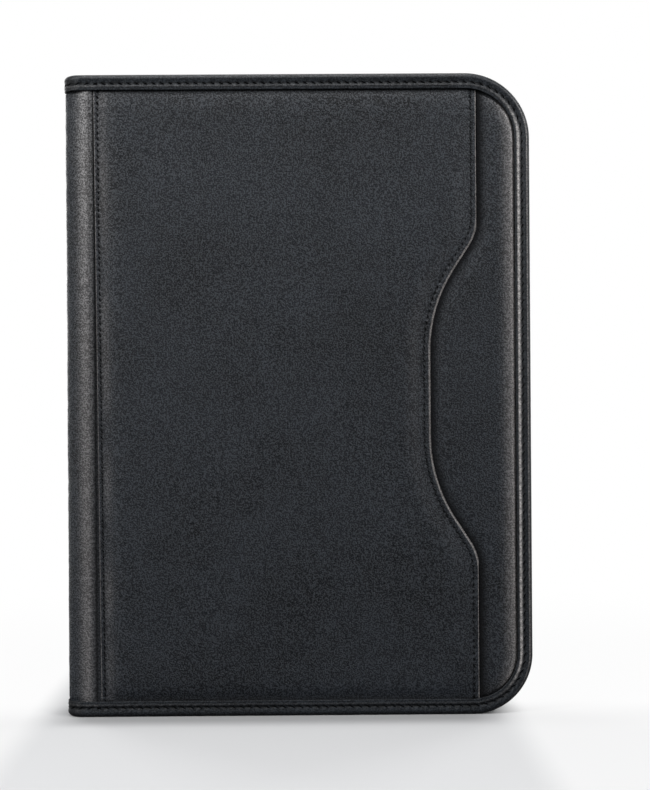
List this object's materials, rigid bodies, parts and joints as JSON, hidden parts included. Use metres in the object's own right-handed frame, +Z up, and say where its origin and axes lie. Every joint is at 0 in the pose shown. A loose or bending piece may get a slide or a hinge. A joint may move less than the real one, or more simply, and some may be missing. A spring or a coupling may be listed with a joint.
{
  "type": "padfolio",
  "caption": "Upright zip-around padfolio with bound edges, a scooped front pocket, a folding spine, an inside organizer and a removable writing pad.",
  "frame": {"origin": "middle of the foot of the closed case, level with its lower edge", "axes": "+Z up along the height, +Y from the front cover to the back cover, the spine on the -X side"},
  "size_m": [0.24, 0.032, 0.33],
  "materials": {
    "cover_leather": "soft pebbled grain, semi-matte",
    "binding_leather": "smooth, lightly polished at the edge",
    "pocket_leather": "smooth, semi-matte",
    "elastic_band": "woven elastic, matte",
    "lining_fabric": "fine woven, matte",
    "padding_foam": "open-cell foam, matte",
    "stiffener_board": "grey-brown pressed board, matte",
    "zipper_tape": "woven, matte",
    "zipper_teeth": "moulded, satin",
    "zipper_metal": "dark plated, satin",
    "clear_film": "clear flexible film, glossy",
    "chipboard": "grey chipboard, matte",
    "paper": "uncoated, matte",
    "head_tape_cloth": "bookbinding cloth, matte"
  },
  "bodies": {
    "back_cover": {"back_panel": "cover_leather", "back_foam": "padding_foam", "back_board": "stiffener_board", "back_lining": "lining_fabric", "back_binding": "binding_leather", "back_spine_strip": "cover_leather", "back_zipper_tape": "zipper_tape", "back_zipper_teeth": "zipper_teeth", "back_zipper_start_stop": "zipper_metal", "back_zipper_end_stop": "zipper_metal", "pad_pocket": "pocket_leather"},
    "spine": {"spine_panel": "cover_leather", "spine_board": "stiffener_board", "spine_lining": "lining_fabric", "spine_binding_top": "binding_leather", "spine_binding_bottom": "binding_leather"},
    "front_cover": {"front_pocket_panel": "cover_leather", "front_base_panel": "cover_leather", "front_foam": "padding_foam", "front_board": "stiffener_board", "front_lining": "lining_fabric", "front_spine_strip": "cover_leather", "front_binding": "binding_leather", "front_zipper_tape": "zipper_tape", "front_zipper_teeth": "zipper_teeth", "front_zipper_end_stop": "zipper_metal", "document_pocket": "lining_fabric", "card_pocket_back": "pocket_leather", "card_pocket_middle": "pocket_leather", "card_pocket_front": "pocket_leather", "id_window_pane": "clear_film", "id_window_frame": "pocket_leather", "pen_loop": "elastic_band"},
    "writing_pad": {"pad_backboard": "chipboard", "pad_sheets": "paper", "pad_head_tape": "head_tape_cloth"},
    "zipper_slider": {"zipper_slider": "zipper_metal"},
    "zipper_pull": {"zipper_pull": "zipper_metal"}
  },
  "joints": [
    {"name": "back_fold", "type": "hinge", "parent": "back_cover", "child": "spine", "pos_m": [-0.11743, 0.01344, 0.165], "axis": [0, 0, -1], "range_deg": [0, 90]},
    {"name": "front_fold", "type": "hinge", "parent": "spine", "child": "front_cover", "pos_m": [-0.11743, -0.01344, 0.165], "axis": [0, 0, -1], "range_deg": [0, 90]},
    {"name": "pad_slide", "type": "slide", "parent": "back_cover", "child": "writing_pad", "axis": [0, 0, 1], "range_m": [0, 0.008]},
    {"name": "slider_travel", "type": "slide", "parent": "back_cover", "child": "zipper_slider", "axis": [1, 0, 0], "range_m": [0, 0.165]},
    {"name": "pull_hinge", "type": "hinge", "parent": "zipper_slider", "child": "zipper_pull", "pos_m": [-0.089, 0, 0.32805], "axis": [0, -1, 0], "range_deg": [0, 160]}
  ]
}
